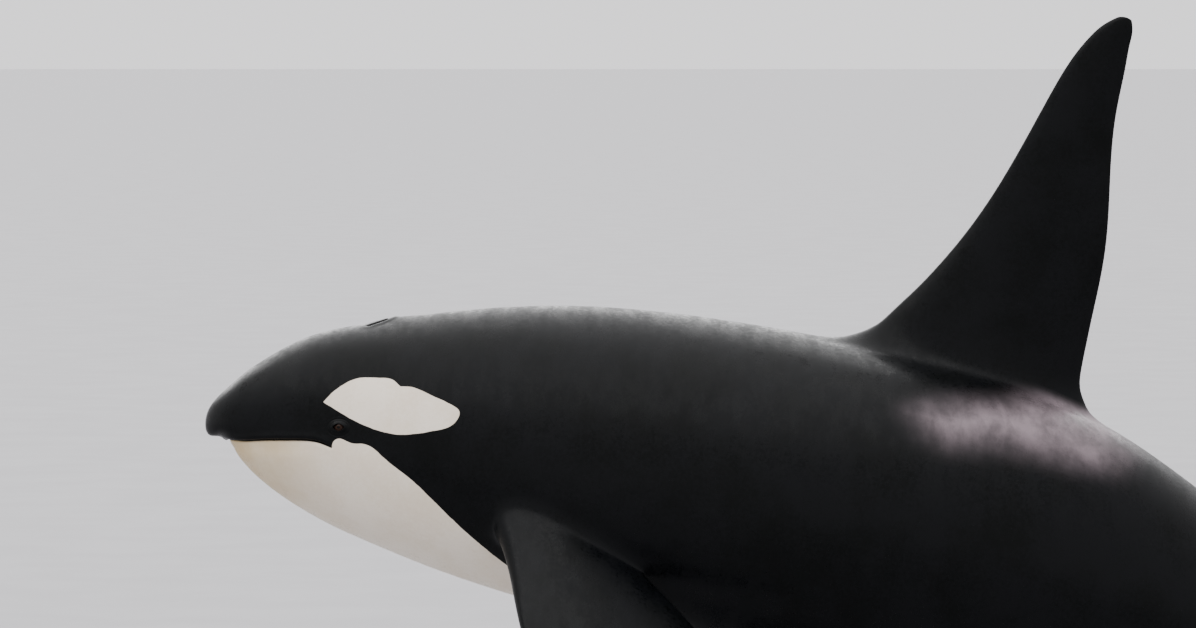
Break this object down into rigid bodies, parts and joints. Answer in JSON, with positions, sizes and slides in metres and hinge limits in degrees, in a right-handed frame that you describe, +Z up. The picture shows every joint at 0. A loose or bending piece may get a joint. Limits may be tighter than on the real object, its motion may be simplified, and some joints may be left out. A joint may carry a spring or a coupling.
{
  "type": "life-size orca model",
  "caption": "Life-size bull orca arched as if surfacing, with tall dorsal fin, paddle flippers and flukes, held over a flat base by two rods.",
  "frame": {"origin": "on the floor under the middle of the model's length and width", "axes": "-X towards the snout, -Y to the animal's left, +Z up"},
  "size_m": [6.6988, 2.935, 4.2308],
  "materials": {
    "black_skin": "smooth wet black skin",
    "white_skin": "smooth wet cream-white skin",
    "eye": "clear gloss over a dark brown eye",
    "stand_paint": "matt grey paint",
    "stand_steel": "satin steel tube"
  },
  "bodies": {
    "root": {"head": "black_skin", "lower_jaw": "white_skin", "torso_front": "black_skin", "torso_rear": "black_skin", "tail_stock": "black_skin", "dorsal_fin": "black_skin", "flipper_left": "black_skin", "flipper_right": "black_skin", "fluke_left": "black_skin", "fluke_right": "black_skin", "eye_left": "eye", "eye_right": "eye", "stand_base": "stand_paint", "stand_rod_front": "stand_steel", "stand_collar_front": "stand_paint", "stand_rod_rear": "stand_steel", "stand_collar_rear": "stand_paint"}
  },
  "joints": []
}
